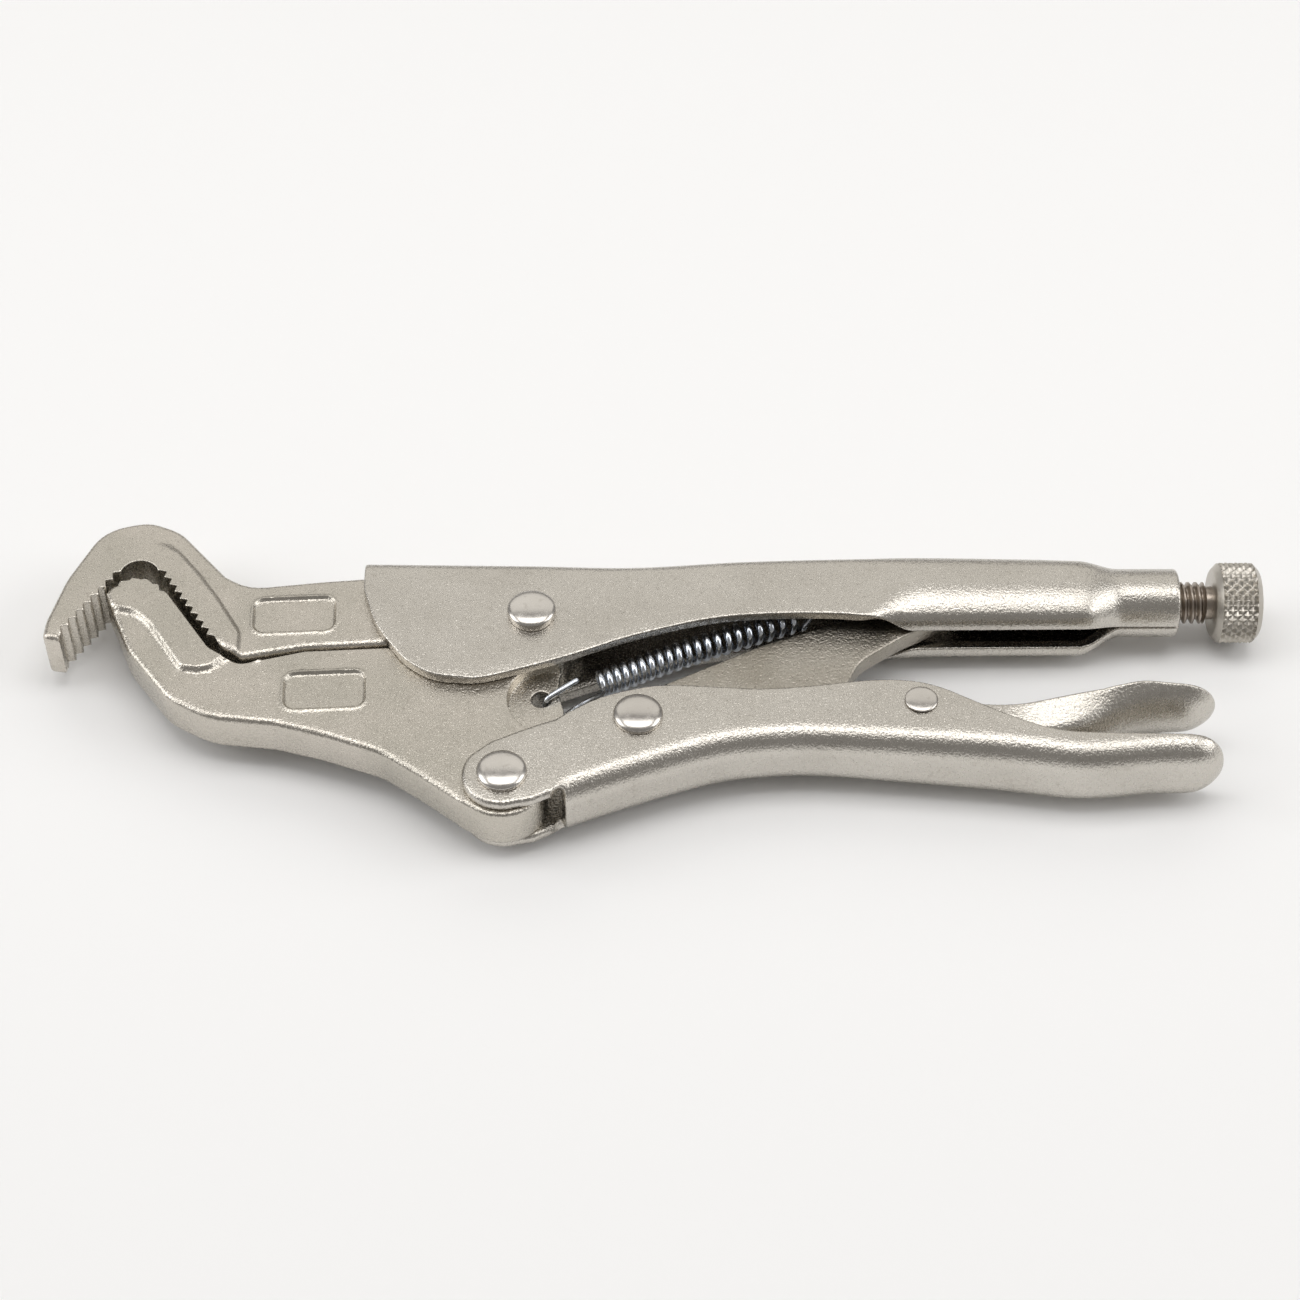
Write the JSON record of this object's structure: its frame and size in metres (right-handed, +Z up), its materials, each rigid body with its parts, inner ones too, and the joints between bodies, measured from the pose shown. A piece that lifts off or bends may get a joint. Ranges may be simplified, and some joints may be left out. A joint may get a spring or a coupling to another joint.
{
  "type": "locking pliers",
  "caption": "Locking pliers with a hooked toothed jaw, toggle handles, a release lever, a coil return spring and a knurled adjusting screw, in satin nickel.",
  "frame": {"origin": "centre of the bounding box at its lowest level: the tool lies on its side", "axes": "+X from the jaws to the knob, +Y from the lower handle to the upper handle, +Z up, square to the flat sides"},
  "size_m": [0.2285, 0.0706, 0.0178],
  "materials": {
    "satin_nickel": "satin nickel plate, slightly warm, fine grain",
    "bright_nickel": "smooth bright nickel",
    "screw_steel": "machined steel",
    "spring_steel": "bright drawn wire"
  },
  "bodies": {
    "upper": {"upper_handle": "satin_nickel", "fixed_jaw": "satin_nickel", "jaw_pivot_rivet": "bright_nickel", "return_spring": "spring_steel"},
    "jaw": {"movable_jaw": "satin_nickel"},
    "lever": {"lower_handle": "satin_nickel", "lever_pivot_rivet": "bright_nickel", "link_pivot_rivet": "bright_nickel", "release_pivot_rivet": "bright_nickel", "link_washer_near": "bright_nickel", "link_washer_far": "bright_nickel"},
    "link": {"toggle_link": "satin_nickel"},
    "release": {"release_lever": "satin_nickel"},
    "nose": {"screw_nose": "screw_steel"},
    "screw": {"adjusting_screw": "screw_steel", "adjusting_knob": "bright_nickel"}
  },
  "joints": [
    {"name": "jaw_pivot", "type": "hinge", "parent": "upper", "child": "jaw", "pos_m": [-0.0233, 0.0106, 0.0089], "axis": [0, 0, 1], "range_deg": [0, 12], "deforming": ["return_spring"]},
    {"name": "lever_pivot", "type": "hinge", "parent": "jaw", "child": "lever", "pos_m": [-0.0276, -0.0272, 0.0089], "axis": [0, 0, 1], "range_deg": [-46.2, 0]},
    {"name": "link_pivot", "type": "hinge", "parent": "lever", "child": "link", "pos_m": [-0.0034, -0.0141, 0.0089], "axis": [0, 0, 1], "range_deg": [0, 53]},
    {"name": "release_press", "type": "hinge", "parent": "lever", "child": "release", "pos_m": [0.048, -0.0109, 0.0089], "axis": [0, 0, 1], "range_deg": [-8, 0]},
    {"name": "screw_turn", "type": "hinge", "parent": "nose", "child": "screw", "pos_m": [0.0767, 0.0191, 0.0089], "axis": [1, 0, 0], "range_deg": [0, 1440]},
    {"name": "screw_travel", "type": "slide", "parent": "upper", "child": "nose", "axis": [1, 0, 0], "range_m": [0, 0.0056]}
  ],
  "couplings": [
    {"joint": "lever_pivot", "follows": "jaw_pivot", "ratio": -3.8333},
    {"joint": "link_pivot", "follows": "jaw_pivot", "ratio": 4.3958},
    {"joint": "screw_turn", "follows": "screw_travel", "rad_per_m": 4453}
  ]
}
